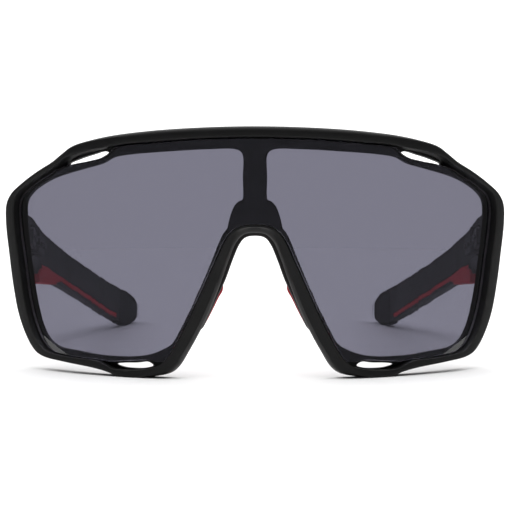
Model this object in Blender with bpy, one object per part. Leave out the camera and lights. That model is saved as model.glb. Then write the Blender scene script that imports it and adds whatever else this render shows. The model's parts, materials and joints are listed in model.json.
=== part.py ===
"""Wraparound sport sunglasses, built from the pieces that they come apart into on a bench.

The face lies on an upright cylinder whose top leans back. Its outlines are drawn flat, as
(across, height), with a depth that counts outwards from the front of the lens. The flat solids
are cut there, then wrapped onto the cylinder. A temple is drawn straight, as (along, height),
with a depth from its inner face outwards, then bent and turned into place. Every size below is
in millimetres, and the front of the object faces -Y.
"""
from math import cos, pi, radians, sin

import bmesh
import bpy
from mathutils import Matrix, Vector

MM = 0.001
GAP = 0.3

# The face: how it curves and leans, and where its lowest lens point is along Y.
FACE_RADIUS = 88.0
FACE_LEAN = radians(5.0)
FACE_APEX_Y = -79.26
STRIP_WIDTH = 4.0

# Depths through the face, outwards positive, from the front of the lens.
RIM_FRONT = 1.8
LENS_FRONT = 0.0
LENS_BACK = -2.0
LEDGE_FRONT = LENS_BACK - GAP
FRAME_BACK = -3.8
SADDLE_FRONT = FRAME_BACK - GAP
SADDLE_BACK = -6.6
PAD_BACK = -10.0
PAD_TAPER = 0.72
PAD_ROOT_OVERLAP = 1.5

# Half outlines of the face, from the middle of the brow round the right side to the nose.
FRAME_EDGE = [(0, 71.0), (16, 70.7), (30, 70.0), (42, 68.9), (51, 67.4), (55.6, 66.2),
              (59, 64.4), (63, 62.1), (69, 59.6), (76.5, 56.3), (82, 53.4), (84.6, 50.4),
              (84.8, 45), (82.9, 36), (80.6, 27), (77.9, 18.8), (74.2, 12.2), (70.6, 8),
              (66.4, 5.9), (58, 4.5), (48, 3), (43.2, 1.9), (39.6, 0.5), (35, 0.1),
              (30.5, 0.7), (25.5, 1.6), (22.4, 3.6), (19.4, 8), (15.8, 14.2), (11.9, 22.4),
              (9.3, 29), (7.45, 34), (5.4, 38.6), (3.2, 40.7), (0, 41.2)]
REBATE_EDGE = [(0, 67.9), (16, 67.6), (30, 66.8), (39, 66.3), (44, 65.5), (51, 64.5),
               (57, 63), (61, 60.9), (66, 58.8), (74, 55.4), (78.6, 52.7), (79.8, 49.5),
               (79.2, 43), (77, 33.6), (74.3, 22.2), (71, 14.2), (67.6, 9.6), (64, 7.3),
               (56, 6), (47, 5.2), (43.8, 4.1), (40.6, 2.9), (34.5, 2.7), (29.6, 3.2),
               (26.4, 4.3), (24.2, 6.6), (21.4, 11.4), (18.4, 17.2), (16, 22.4), (13, 29),
               (10.9, 33.6), (8.2, 39.2), (6, 41.8), (3.2, 43), (0, 43.2)]
LENS_EDGE = [(0, 67.6), (16, 67.3), (30, 66.5), (38, 66), (41.6, 65.4), (44, 63.6), (47.4, 62.3),
             (55, 61.3), (62, 60), (66, 58.3), (74, 55), (78.2, 52.4), (79.5, 49.5), (78.9, 43),
             (76.7, 33.7), (74, 22.4), (70.7, 14.5), (67.3, 9.9), (63.8, 7.6), (56, 6.3),
             (47, 5.5), (42.9, 5), (37, 5.2), (31.4, 5.4), (27.8, 4.9), (25.9, 5.2),
             (24.4, 7.1), (21.7, 11.6), (18.7, 17.4), (16.3, 22.6), (13.3, 29.2), (11.2, 33.8),
             (8.5, 39.4), (6.2, 42), (3.3, 43.3), (0, 43.5)]

# Whole outlines on the right side.
EYE_OPENING = [(3.5, 50.8), (3.5, 57), (3.6, 63.2), (5, 64.5), (14, 64.7), (26, 64.2),
               (37, 63.6), (42.6, 62.9), (46.4, 61.3), (52, 60.1), (59, 58.8), (64.6, 57.6),
               (70.3, 55.8), (75.6, 53.4), (78.4, 50.8), (78.6, 46), (77.4, 38), (75.6, 30),
               (73.4, 22), (70.6, 15.2), (67.2, 11), (63, 8.9), (55, 7.7), (46, 6.6),
               (36, 6.4), (31, 7), (27.4, 8.2), (24.2, 10), (21.8, 13.8), (18.6, 19.8),
               (15.5, 26.4), (12.8, 32.6), (10.05, 39.2), (9, 41.2), (8.1, 42.3), (7.95, 42.6),
               (7.6, 44.1), (7.2, 45.6), (6.8, 46.9), (6.05, 48.6), (5.5, 49.3), (4.75, 50),
               (3.75, 50.45)]
BROW_VENT = [(44.6, 64.2), (47.4, 62.9), (53, 61.9), (59.6, 60.7), (60, 61.4), (56.4, 62.6),
             (50.6, 63.9), (46.4, 64.7)]
CHEEK_VENT = [(30.1, 3.9), (32.2, 3.25), (36.2, 3.1), (39.8, 3.4), (42.3, 4.15), (39.6, 4.5),
              (35.2, 4.6), (31.6, 4.85)]
SADDLE_NOSE_SIDE = [(0, 40.4), (2.9, 39.9), (4.8, 37.8), (6.8, 33.4), (8.8, 28.3), (11.7, 22.4),
                    (14.4, 17), (16.3, 13.4)]
SADDLE_FRAME_SIDE = [(18, 14.2), (16.2, 17.9), (13.5, 23.2), (10.7, 29.2), (9, 33.9),
                     (7.3, 38.6), (4.3, 42.2), (0, 43.1)]
PAD_ROOT = [(11.4, 28.8), (14, 23.6), (16.7, 18.3), (18.5, 14.9), (19.4, 13.3), (21, 13.2),
            (21.3, 15.2), (18.8, 20.2), (16, 26), (13, 29.5)]
PAD_CUSHION = [(10.1, 27.2), (9.9, 25.3), (11.35, 22.8), (13.8, 18.3), (16.4, 14.3), (18.3, 12.8),
               (20.6, 12.8), (21, 15), (18.5, 20), (15.6, 25.7), (12.7, 28.9)]
SADDLE_PEG = (7.6, 34.9)
PAD_PEGS = [(15.6, 23.2), (18.8, 16.9)]
PEG_RADIUS = 0.7
SADDLE_PEG_RADIUS = 0.4
SOCKET_CLEARANCE = 0.2
PEG_ROOT = 0.5
SADDLE_PEG_BACK = -5.6
PAD_PEG_BACK = -7.6

# Right end piece, in plan as (x, y) behind the face's own upright axes, and its sloped ends
# as (y, z) points with a rise for each millimetre backwards.
END_PIECE_PLAN = [(72.9, 36.6), (72.6, 40), (70.5, 52), (65.9, 52), (65.9, 40), (68.6, 36.2)]
END_PIECE_HEIGHTS = (20.0, 56.0)
END_PIECE_TOP = ((50.0, 42.9), -0.42)
END_PIECE_FOOT = ((50.0, 27.6), -0.30)

# Right hinge: the pivot behind the face's apex, its lean and the temple's turn at rest.
PIVOT = (65.0, 50.0, 35.2)
TEMPLE_SLOPE = radians(16.5)
TOE_IN = radians(11.8)
BARREL_RADIUS = 1.5
BORE_RADIUS = 0.7
SCREW_RADIUS = 0.6
KNUCKLE_LEVELS = [(-3.4, -1.4), (-1.1, 1.1), (1.4, 3.4)]
LEAF_DEPTHS = (-0.4, 0.6)
LEAF_REACH = 8.4
LEAF_HALF_HEIGHT = 2.6
LEAF_SCREWS = (4.0, 6.8)
LEAF_SCREW_RADIUS = 0.45
LEAF_SCREW_LENGTH = 3.4
LEAF_SCREW_HEAD = 0.9
LEAF_HEAD_LIFT = 0.2
AXLE_HEAD = 1.25
HOLE_CLEARANCE = 0.15
HEAD_HEIGHT = 0.6
SLOT_WIDTH = 0.35
SLOT_DEPTH = 0.3
WASHER_RADIUS = 1.3
WASHER_LIFTS = (0.15, 0.4)
AXLE_HEAD_LIFT = 0.55
NOTCH_REACH = 5.0
NOTCH_BELOW = 4.0
THROUGH = 5.0

# Temple, drawn straight: depths count from its inner face, heights from its centre line.
INNER_FACE = 0.9
TEMPLE_THICKNESS = 4.4
TEMPLE_LENGTH = 114.2
GRIP_START = 97.0
TONGUE_END = 106.0
TEMPLE_TOP = [(0.15, 7.4), (6, 6), (12, 5.1), (20, 4.6), (30, 4.1), (45, 3.9), (62, 4.1),
              (80, 4.5), (97, 4.9)]
TEMPLE_BOTTOM = [(97, -6.5), (80, -6.9), (60, -7.1), (30, -7.5), (0.15, -7.9)]
GRIP_OUTLINE = [(97.3, 4.9), (103, 5), (107, 4.7), (110.5, 3.7), (113, 2.2), (114.2, 0.3),
                (113.6, -1.5), (111, -3.6), (107.5, -5.4), (104, -6.5), (100.5, -6.9), (97.3, -7)]
TONGUE_HEIGHTS = (-3.6, 3.0)
TONGUE_DEPTHS = (1.2, 3.2)
THIN_FROM, THIN_TO, THIN_SHARE = 2.0, 45.0, 0.76
CURL_START, CURL_IN = 82.0, 2.4
BEND_SPACING = 6.0
TONGUE_OVERLAP = 2.0

# Red insert: a strip in a groove of the inner face, ending forwards in a foot under the arm.
STRIP_SPAN = (10.0, 93.0)
STRIP_HEIGHTS = (-6.2, -4.9)
STRIP_RISE = 0.005
INSERT_DEPTH = 0.8
INSERT_CLEARANCE = 0.25
BADGE = [(7.4, -9), (8.6, -6.9), (12.5, -4.9), (15.4, -4.5), (22, -4.9), (29, -5.2), (29, -6.2),
         (23, -8.2), (10.5, -10)]
FOOT = [(7.4, -8.2), (7.9, -10.7), (10.5, -10.5), (25, -8.05), (25, -7.9)]
FOOT_DEPTH = 3.2


def clear_scene():
    """Removes every object, so that the script always starts from nothing."""
    for item in list(bpy.data.objects):
        bpy.data.objects.remove(item, do_unlink=True)


def finish(name, colour, roughness, metallic=0.0):
    """Makes a plain Principled material."""
    material = bpy.data.materials.new(name)
    material.use_nodes = True
    shader = material.node_tree.nodes["Principled BSDF"]
    shader.inputs["Base Color"].default_value = (*colour, 1.0)
    shader.inputs["Roughness"].default_value = roughness
    shader.inputs["Metallic"].default_value = metallic
    return material


# --- outlines ------------------------------------------------------------------------------

def curve_between(p0, p1, p2, p3, steps):
    """Points from p1 up to p2 on a centripetal Catmull-Rom curve through four points."""
    p0, p1, p2, p3 = (Vector(p) for p in (p0, p1, p2, p3))
    t1 = (p1 - p0).length ** 0.5
    t2 = t1 + (p2 - p1).length ** 0.5
    t3 = t2 + (p3 - p2).length ** 0.5
    points = []
    for step in range(steps):
        t = t1 + (t2 - t1) * step / steps
        a1 = p0.lerp(p1, t / t1)
        a2 = p1.lerp(p2, (t - t1) / (t2 - t1))
        a3 = p2.lerp(p3, (t - t2) / (t3 - t2))
        b1 = a1.lerp(a2, t / t2)
        b2 = a2.lerp(a3, (t - t1) / (t3 - t1))
        points.append(b1.lerp(b2, (t - t1) / (t2 - t1)))
    return points


def smooth_closed(points, steps=2):
    """A closed smooth outline through points."""
    count = len(points)
    outline = []
    for i in range(count):
        around = [points[(i + k) % count] for k in (-1, 0, 1, 2)]
        outline += curve_between(*around, steps)
    return outline


def mirrored_outline(half):
    """A whole outline from its right half, whose first and last points are on the middle."""
    return half + [(-across, height) for across, height in reversed(half[1:-1])]


def other_side(points):
    """The same outline on the left side."""
    return [(-across, height) for across, height in points]


# --- meshes and Booleans -------------------------------------------------------------------

def add_object(name, mesh, material=None):
    """Links a new object to the scene."""
    item = bpy.data.objects.new(name, mesh)
    bpy.context.scene.collection.objects.link(item)
    if material:
        mesh.materials.append(material)
    return item


def prism(outline, near, far, name="blank"):
    """A solid from an outline in XZ, from depth near to depth far along -Y."""
    bm = bmesh.new()
    corners = [bm.verts.new((x * MM, -near * MM, z * MM)) for x, z in outline]
    face = bm.faces.new(corners)
    sides = bmesh.ops.extrude_face_region(bm, geom=[face])["geom"]
    moved = [part for part in sides if isinstance(part, bmesh.types.BMVert)]
    bmesh.ops.translate(bm, verts=moved, vec=(0, (near - far) * MM, 0))
    bmesh.ops.recalc_face_normals(bm, faces=bm.faces)
    mesh = bpy.data.meshes.new(name)
    bm.to_mesh(mesh)
    bm.free()
    return add_object(name, mesh)


def rod(radius, low, high, segments=20, name="blank"):
    """A round rod along Z from level low to level high."""
    bm = bmesh.new()
    bmesh.ops.create_cone(bm, cap_ends=True, segments=segments, radius1=radius * MM,
                          radius2=radius * MM, depth=(high - low) * MM)
    bmesh.ops.translate(bm, verts=bm.verts, vec=(0, 0, (low + high) / 2 * MM))
    mesh = bpy.data.meshes.new(name)
    bm.to_mesh(mesh)
    bm.free()
    return add_object(name, mesh)


def box(low, high, name="blank"):
    """A box between two corners."""
    bm = bmesh.new()
    bmesh.ops.create_cube(bm, size=MM)
    size = [b - a for a, b in zip(low, high)]
    bmesh.ops.scale(bm, verts=bm.verts, vec=size)
    centre = [(a + b) / 2 * MM for a, b in zip(low, high)]
    bmesh.ops.translate(bm, verts=bm.verts, vec=centre)
    mesh = bpy.data.meshes.new(name)
    bm.to_mesh(mesh)
    bm.free()
    return add_object(name, mesh)


def reshape(item, operation, tools):
    """Cuts away or joins on each tool with an exact Boolean, then drops the tools."""
    for tool in tools:
        tool.hide_render = True
        tool.display_type = "WIRE"
        change = item.modifiers.new(operation.title(), "BOOLEAN")
        change.operation = operation
        change.solver = "EXACT"
        change.object = tool
    graph = bpy.context.evaluated_depsgraph_get()
    mesh = bpy.data.meshes.new_from_object(item.evaluated_get(graph))
    item.modifiers.clear()
    item.data = mesh
    for tool in tools:
        bpy.data.objects.remove(tool, do_unlink=True)
    return item


def cut(item, *tools):
    """Takes the tools' shapes out of an object."""
    return reshape(item, "DIFFERENCE", tools)


def join(item, *tools):
    """Joins the tools' shapes to an object as one body."""
    return reshape(item, "UNION", tools)


def turned(item, matrix):
    """Applies a transform to an object's mesh, keeping its faces outward."""
    item.data.transform(matrix)
    if matrix.determinant() < 0:
        item.data.flip_normals()
    item.data.update()
    return item


def edit(item, change):
    """Opens an object's mesh for a change function."""
    bm = bmesh.new()
    bm.from_mesh(item.data)
    change(bm)
    bm.to_mesh(item.data)
    bm.free()
    item.data.update()
    return item


def slice_along(bm, axis, spacing, reach):
    """Cuts every face at even stations, so that a later bend has points to move."""
    normal = Vector((0, 0, 0))
    normal[axis] = 1
    count = int(reach // spacing)
    for step in range(-count, count + 1):
        geometry = bm.verts[:] + bm.edges[:] + bm.faces[:]
        place = normal * step * spacing * MM
        bmesh.ops.bisect_plane(bm, geom=geometry, plane_co=place, plane_no=normal, dist=1e-7)


def trim(bm, place, normal):
    """Cuts off what lies beyond a plane and closes the cut."""
    geometry = bm.verts[:] + bm.edges[:] + bm.faces[:]
    made = bmesh.ops.bisect_plane(bm, geom=geometry, plane_co=Vector(place) * MM,
                                  plane_no=normal, clear_outer=True, dist=1e-7)
    rim = [part for part in made["geom_cut"] if isinstance(part, bmesh.types.BMEdge)]
    bmesh.ops.triangle_fill(bm, edges=rim, use_beauty=True)
    bmesh.ops.recalc_face_normals(bm, faces=bm.faces)


# --- places --------------------------------------------------------------------------------

APEX = Matrix.Translation((0, FACE_APEX_Y * MM, 0))
LEAN = APEX @ Matrix.Rotation(-FACE_LEAN, 4, "X")
HINGE = APEX @ Matrix.Translation(Vector(PIVOT) * MM) @ Matrix.Rotation(-TEMPLE_SLOPE, 4, "X")
TEMPLE = HINGE @ Matrix.Rotation(TOE_IN, 4, "Z")
MIRROR = Matrix.Scale(-1, 4, (1, 0, 0))
SIDES = {"right": Matrix.Identity(4), "left": MIRROR}


def wrap(item):
    """Wraps a flat solid of the face onto the leaning cylinder."""
    radius = FACE_RADIUS * MM

    def onto_cylinder(bm):
        slice_along(bm, 0, STRIP_WIDTH, FACE_RADIUS)
        for vert in bm.verts:
            across, back, height = vert.co
            turn = across / radius
            reach = radius - back
            vert.co = (reach * sin(turn), radius - reach * cos(turn), height)

    return turned(edit(item, onto_cylinder), LEAN)


def smooth_step(value):
    """Eases from 0 to 1."""
    value = min(max(value, 0.0), 1.0)
    return value * value * (3 - 2 * value)


def bend_temple(item):
    """Thins a straight temple solid behind its hinge and curls its tip inwards.

    The solid comes with its length along X, its depth along -Y and its height along Z, and
    leaves with its depth along X and its length along Y.
    """
    def bend(bm):
        slice_along(bm, 0, BEND_SPACING, TEMPLE_LENGTH)
        for vert in bm.verts:
            along, back, height = vert.co / MM
            thin = smooth_step((along - THIN_FROM) / (THIN_TO - THIN_FROM))
            share = 1 - (1 - THIN_SHARE) * thin
            curl = max(along - CURL_START, 0) / (TEMPLE_LENGTH - CURL_START)
            depth = INNER_FACE - CURL_IN * curl * curl - back * share
            vert.co = Vector((depth, along, height)) * MM

    return edit(item, bend)


def place(pieces, item, name, side, matrix, material):
    """Copies a right-hand solid to one side under its own name."""
    copy = add_object(f"{name}_{side}", item.data.copy(), material)
    turned(copy, SIDES[side] @ matrix)
    pieces.append(copy)
    return copy


# --- front ---------------------------------------------------------------------------------

def peg(centre, back, radius):
    """A peg that stands out of the back of the frame, as a flat solid."""
    across, height = centre
    ring = [(across + radius * cos(2 * pi * k / 12), height + radius * sin(2 * pi * k / 12))
            for k in range(12)]
    return prism(ring, FRAME_BACK + PEG_ROOT, back)


def end_piece(side):
    """The block that carries one hinge, with a blind hole for each leaf screw."""
    low, high = END_PIECE_HEIGHTS
    bm = bmesh.new()
    face = bm.faces.new([bm.verts.new((x * MM, y * MM, low * MM)) for x, y in END_PIECE_PLAN])
    raised = bmesh.ops.extrude_face_region(bm, geom=[face])["geom"]
    verts = [part for part in raised if isinstance(part, bmesh.types.BMVert)]
    bmesh.ops.translate(bm, verts=verts, vec=(0, 0, (high - low) * MM))
    bmesh.ops.recalc_face_normals(bm, faces=bm.faces)
    mesh = bpy.data.meshes.new("end_piece")
    bm.to_mesh(mesh)
    bm.free()
    block = turned(add_object("end_piece", mesh), APEX.inverted() @ LEAN)

    def shape_ends(bm):
        (top_y, top_z), top_rise = END_PIECE_TOP
        (foot_y, foot_z), foot_rise = END_PIECE_FOOT
        back = (APEX.inverted() @ TEMPLE).to_3x3().col[1]
        trim(bm, (0, top_y, top_z), (0, -top_rise, 1))
        trim(bm, (0, foot_y, foot_z), (0, foot_rise, -1))
        trim(bm, Vector(PIVOT) - back * GAP / 2, back)

    edit(block, shape_ends)
    turned(block, APEX)
    reach = BARREL_RADIUS + GAP
    notch = turned(box((-NOTCH_REACH, -reach, -NOTCH_BELOW), (reach, NOTCH_REACH, NOTCH_REACH)),
                   HINGE)
    holes = [leaf_hole(-along, HINGE) for along in LEAF_SCREWS]
    cut(block, notch, *holes)
    return turned(block, SIDES[side])


def leaf_hole(along, matrix):
    """A drill shape for a leaf screw, outwards from the hinge's own middle plane."""
    drill = rod(LEAF_SCREW_RADIUS + HOLE_CLEARANCE, 0, LEAF_SCREW_LENGTH + GAP)
    turn = Matrix.Translation((0, along * MM, 0)) @ Matrix.Rotation(pi / 2, 4, "Y")
    return turned(drill, matrix @ turn)


def front_frame(material):
    """The moulded front: rim, rebate, bar, vents, nose lip, pegs and end pieces."""
    frame = prism(smooth_closed(mirrored_outline(FRAME_EDGE)), RIM_FRONT, FRAME_BACK,
                  "front_frame")
    rebate = prism(smooth_closed(mirrored_outline(REBATE_EDGE)), RIM_FRONT + 1, LEDGE_FRONT)
    cuts = [rebate]
    for outline in (EYE_OPENING, BROW_VENT, CHEEK_VENT):
        for shape in (outline, other_side(outline)):
            cuts.append(prism(smooth_closed(shape), LENS_FRONT, FRAME_BACK - 1))
    cut(frame, *cuts)
    for hand in (1, -1):
        pegs = [peg((hand * SADDLE_PEG[0], SADDLE_PEG[1]), SADDLE_PEG_BACK, SADDLE_PEG_RADIUS)]
        pegs += [peg((hand * across, height), PAD_PEG_BACK, PEG_RADIUS)
                 for across, height in PAD_PEGS]
        join(frame, *pegs)
    wrap(frame)
    join(frame, end_piece("right"), end_piece("left"))
    edit(frame, lambda bm: trim(bm, (0, 0, 0), (0, 0, -1)))
    frame.data.materials.clear()
    frame.data.materials.append(material)
    return frame


def shield_lens(material):
    """The one-piece shield, notched at the four vents."""
    lens = prism(smooth_closed(mirrored_outline(LENS_EDGE)), LENS_FRONT, LENS_BACK,
                 "shield_lens")
    lens.data.materials.append(material)
    return wrap(lens)


def nose_saddle(material):
    """The soft arch behind the nose lip, with a socket for each of its pegs."""
    outline = smooth_closed(mirrored_outline(SADDLE_NOSE_SIDE + SADDLE_FRAME_SIDE))
    saddle = prism(outline, SADDLE_FRONT, SADDLE_BACK, "nose_saddle")
    for hand in (1, -1):
        centre = (hand * SADDLE_PEG[0], SADDLE_PEG[1])
        cut(saddle, peg(centre, SADDLE_PEG_BACK - GAP, SADDLE_PEG_RADIUS + SOCKET_CLEARANCE))
    saddle.data.materials.clear()
    saddle.data.materials.append(material)
    return wrap(saddle)


def nose_pad(hand, name, material):
    """One soft pad: a root with two peg sockets, and a cushion that reaches over the saddle."""
    root, outline = (smooth_closed([(hand * across, height) for across, height in shape])
                     for shape in (PAD_ROOT, PAD_CUSHION))
    pad = prism(outline, SADDLE_BACK - GAP, PAD_BACK, name)
    middle = sum(outline, Vector((0, 0))) / len(outline)

    def taper(bm):
        for vert in bm.verts:
            if vert.co.y > -(SADDLE_BACK + PAD_BACK) / 2 * MM:
                vert.co.x = (middle.x + (vert.co.x / MM - middle.x) * PAD_TAPER) * MM
                vert.co.z = (middle.y + (vert.co.z / MM - middle.y) * PAD_TAPER) * MM

    edit(pad, taper)
    join(pad, prism(root, SADDLE_FRONT, SADDLE_BACK - PAD_ROOT_OVERLAP))
    for across, height in PAD_PEGS:
        cut(pad, peg((hand * across, height), PAD_PEG_BACK - GAP, PEG_RADIUS + SOCKET_CLEARANCE))
    pad.data.materials.clear()
    pad.data.materials.append(material)
    return wrap(pad)


# --- hinge ---------------------------------------------------------------------------------

def leaf(knuckles, direction):
    """A hinge leaf: a plate with drilled knuckles, its plate running along direction."""
    inner, outer = LEAF_DEPTHS
    ends = sorted((direction * 1.0, direction * LEAF_REACH))
    plate = box((inner, ends[0], -LEAF_HALF_HEIGHT), (outer, ends[1], LEAF_HALF_HEIGHT))
    levels = [KNUCKLE_LEVELS[k] for k in knuckles]
    others = [span for span in KNUCKLE_LEVELS if span not in levels]
    reach = BARREL_RADIUS + GAP
    clear = [box((-reach, -reach, low - GAP), (reach, reach, high + GAP))
             for low, high in others]
    cut(plate, *clear)
    join(plate, *[rod(BARREL_RADIUS, low, high) for low, high in levels])
    drills = [rod(BORE_RADIUS, -THROUGH, THROUGH)]
    for along in LEAF_SCREWS:
        drill = rod(LEAF_SCREW_RADIUS + HOLE_CLEARANCE, -THROUGH, THROUGH, 12)
        turn = Matrix.Translation((0, direction * along * MM, 0))
        drills.append(turned(drill, turn @ Matrix.Rotation(pi / 2, 4, "Y")))
    return cut(plate, *drills)


def slotted_screw(radius, length, head_radius):
    """A screw along -Z whose slotted head sits on top of the XY plane."""
    screw = rod(radius, -length, 0.1, 16)
    join(screw, rod(head_radius, 0, HEAD_HEIGHT, 16))
    half = SLOT_WIDTH / 2
    slot = box((-3, -half, HEAD_HEIGHT - SLOT_DEPTH), (3, half, HEAD_HEIGHT + 1))
    return cut(screw, slot)


def hinge_parts(pieces, side, steel):
    """Both leaves, the axle screw, its washer and the four leaf screws of one hinge."""
    front = leaf((0, 2), -1)
    place(pieces, front, "hinge_front_leaf", side, HINGE, steel)
    rear = leaf((1,), 1)
    place(pieces, rear, "hinge_temple_leaf", side, TEMPLE, steel)
    top = KNUCKLE_LEVELS[-1][1]
    low, high = (top + lift for lift in WASHER_LIFTS)
    washer = cut(rod(WASHER_RADIUS, low, high), rod(BORE_RADIUS, low - 1, high + 1))
    place(pieces, washer, "hinge_washer", side, HINGE, steel)
    seat = top + AXLE_HEAD_LIFT
    axle = slotted_screw(SCREW_RADIUS, seat - KNUCKLE_LEVELS[0][0], AXLE_HEAD)
    lift = Matrix.Translation((0, 0, seat * MM))
    place(pieces, axle, "hinge_screw", side, HINGE @ lift, steel)
    small = slotted_screw(LEAF_SCREW_RADIUS, LEAF_SCREW_LENGTH, LEAF_SCREW_HEAD)
    depth = LEAF_DEPTHS[0] - LEAF_HEAD_LIFT
    for word, frame, direction in (("front", HINGE, -1), ("temple", TEMPLE, 1)):
        for number, along in enumerate(LEAF_SCREWS, 1):
            head = Matrix.Translation(Vector((depth, direction * along, 0)) * MM)
            turn = Matrix.Rotation(-pi / 2, 4, "Y")
            place(pieces, small, f"{word}_leaf_screw_{number}", side, frame @ head @ turn,
                  steel)
    for blank in (front, rear, washer, axle, small):
        bpy.data.objects.remove(blank, do_unlink=True)


# --- temple --------------------------------------------------------------------------------

def open_curve(points, steps=2):
    """A smooth open line through points."""
    ends = [points[0]] + points + [points[-1]]
    first = Vector(points[0]) * 2 - Vector(points[1])
    last = Vector(points[-1]) * 2 - Vector(points[-2])
    ends[0], ends[-1] = first, last
    line = []
    for i in range(len(points) - 1):
        line += curve_between(*ends[i:i + 4], steps)
    return line + [Vector(points[-1])]


def strip_outline(span, heights, grow=0.0):
    """The strip's outline, which rises slightly towards the tip."""
    start, stop = span[0] - grow, span[1] + grow
    low, high = heights[0] - grow, heights[1] + grow
    rise = STRIP_RISE * (stop - start)
    return [(start, low), (stop, low + rise), (stop, high + rise), (start, high)]


def grown(outline, amount):
    """An outline moved outwards by amount on every side, for the pocket around it."""
    points = [Vector(point) for point in outline]
    pairs = list(zip(points, points[1:] + points[:1]))
    winding = 1 if sum(a.cross(b) for a, b in pairs) > 0 else -1
    normals = [winding * Vector((b.y - a.y, a.x - b.x)).normalized() for a, b in pairs]
    result = []
    for point, before, after in zip(points, normals[-1:] + normals[:-1], normals):
        result.append(point + (before + after) * amount / (1 + before.dot(after)))
    return result


def temple_blanks():
    """The arm, its insert and its grip as straight solids, cut to fit each other."""
    arm = prism(open_curve(TEMPLE_TOP) + open_curve(TEMPLE_BOTTOM), 0, TEMPLE_THICKNESS)
    low, high = TONGUE_HEIGHTS
    near, far = TONGUE_DEPTHS
    root = GRIP_START - TONGUE_OVERLAP
    tongue = [(root, low), (TONGUE_END, low), (TONGUE_END, high), (root, high)]
    join(arm, prism(tongue, near, far))
    reach = BARREL_RADIUS + GAP
    groove = prism(strip_outline(STRIP_SPAN, STRIP_HEIGHTS, INSERT_CLEARANCE), -1, INSERT_DEPTH + GAP)
    pocket = prism(grown(BADGE, INSERT_CLEARANCE), -1, INSERT_DEPTH + GAP)
    notch = prism([(-1, -NOTCH_BELOW), (reach, -NOTCH_BELOW), (reach, NOTCH_REACH),
                   (-1, NOTCH_REACH)], -1, reach - INNER_FACE)
    holes = []
    for along in LEAF_SCREWS:
        drill = rod(LEAF_SCREW_RADIUS + HOLE_CLEARANCE, -1, LEAF_SCREW_LENGTH, 12)
        turn = Matrix.Translation((along * MM, 0, 0)) @ Matrix.Rotation(pi / 2, 4, "X")
        holes.append(turned(drill, turn))
    cut(arm, groove, pocket, notch, *holes)

    insert = prism(strip_outline(STRIP_SPAN, STRIP_HEIGHTS), 0, INSERT_DEPTH)
    join(insert, prism(BADGE, 0, INSERT_DEPTH), prism(FOOT, 0, FOOT_DEPTH))

    grip = prism(open_curve(GRIP_OUTLINE), 0, TEMPLE_THICKNESS)
    cut(grip, prism(grown(tongue, GAP), near - GAP, far + GAP))
    return arm, insert, grip


def temple_parts(pieces, side, black, red, soft):
    """One arm with its insert and its grip, bent and set at the hinge."""
    names = ("temple_arm", "temple_insert", "temple_grip")
    for name, blank, material in zip(names, temple_blanks(), (black, red, soft)):
        piece = place(pieces, bend_temple(blank), name, side, TEMPLE, material)
        edit(piece, lambda bm: trim(bm, (0, 0, 0), (0, 0, -1)))
        bpy.data.objects.remove(blank, do_unlink=True)


def hang_on_hinge(pieces, side):
    """Parents the pieces that swing to an empty on their hinge's axis."""
    axis = bpy.data.objects.new(f"{side}_temple_axis", None)
    bpy.context.scene.collection.objects.link(axis)
    axis.location = (SIDES[side] @ HINGE).translation
    axis.rotation_euler = (-TEMPLE_SLOPE, 0, 0)
    bpy.context.view_layer.update()
    for piece in pieces:
        swings = piece.name.startswith(("temple_", "hinge_temple"))
        if swings and piece.name.endswith(side):
            piece.parent = axis
            piece.matrix_parent_inverse = axis.matrix_world.inverted()


def main():
    """Builds the sunglasses."""
    clear_scene()
    black = finish("matte_black_nylon", (0.012, 0.012, 0.012), 0.55)
    smoke = finish("smoke_polycarbonate", (0.05, 0.05, 0.06), 0.05)
    grey = finish("grey_rubber", (0.11, 0.105, 0.1), 0.7)
    red = finish("red_rubber", (0.52, 0.03, 0.045), 0.6)
    soft = finish("black_rubber", (0.02, 0.02, 0.02), 0.75)
    steel = finish("blackened_steel", (0.09, 0.09, 0.095), 0.4, 1.0)

    front_frame(black)
    shield_lens(smoke)
    nose_saddle(grey)
    nose_pad(1, "nose_pad_right", red)
    nose_pad(-1, "nose_pad_left", red)
    pieces = []
    for side in SIDES:
        hinge_parts(pieces, side, steel)
        temple_parts(pieces, side, black, red, soft)
        hang_on_hinge(pieces, side)


main()
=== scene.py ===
"""Wraparound sport sunglasses: the finished look of every piece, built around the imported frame.

The face is drawn flat, as (across, height) with a depth that counts outwards from the front of
the lens, then wrapped onto a cylinder that leans back. A temple is drawn straight, as (along,
height) with a depth from its inner face, then bent and hung at its hinge. Sizes are in
millimetres unless a comment says otherwise, and the front of the object faces -Y.
"""
import json
import logging
from collections.abc import Callable, Iterable, Sequence
from dataclasses import dataclass
from enum import Enum
from math import atan2, cos, pi, radians, sin, sqrt
from typing import Any

import bmesh
import bpy
import numpy as np
from mathutils import Matrix, Vector


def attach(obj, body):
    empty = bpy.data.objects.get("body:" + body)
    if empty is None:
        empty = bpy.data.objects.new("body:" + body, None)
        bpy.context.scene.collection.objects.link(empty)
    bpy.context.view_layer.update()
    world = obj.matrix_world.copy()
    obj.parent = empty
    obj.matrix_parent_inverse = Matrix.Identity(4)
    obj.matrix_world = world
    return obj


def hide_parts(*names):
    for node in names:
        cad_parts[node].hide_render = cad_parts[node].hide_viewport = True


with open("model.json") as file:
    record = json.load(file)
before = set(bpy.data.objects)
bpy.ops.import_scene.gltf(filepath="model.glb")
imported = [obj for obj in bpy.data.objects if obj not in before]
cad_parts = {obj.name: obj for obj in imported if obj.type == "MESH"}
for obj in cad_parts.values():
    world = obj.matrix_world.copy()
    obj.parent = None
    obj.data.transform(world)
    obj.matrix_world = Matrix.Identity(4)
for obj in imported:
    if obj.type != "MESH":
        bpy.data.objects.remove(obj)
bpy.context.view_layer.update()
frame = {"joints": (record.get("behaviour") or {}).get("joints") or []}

log = logging.getLogger("sunglasses")

MM = 0.001
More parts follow.
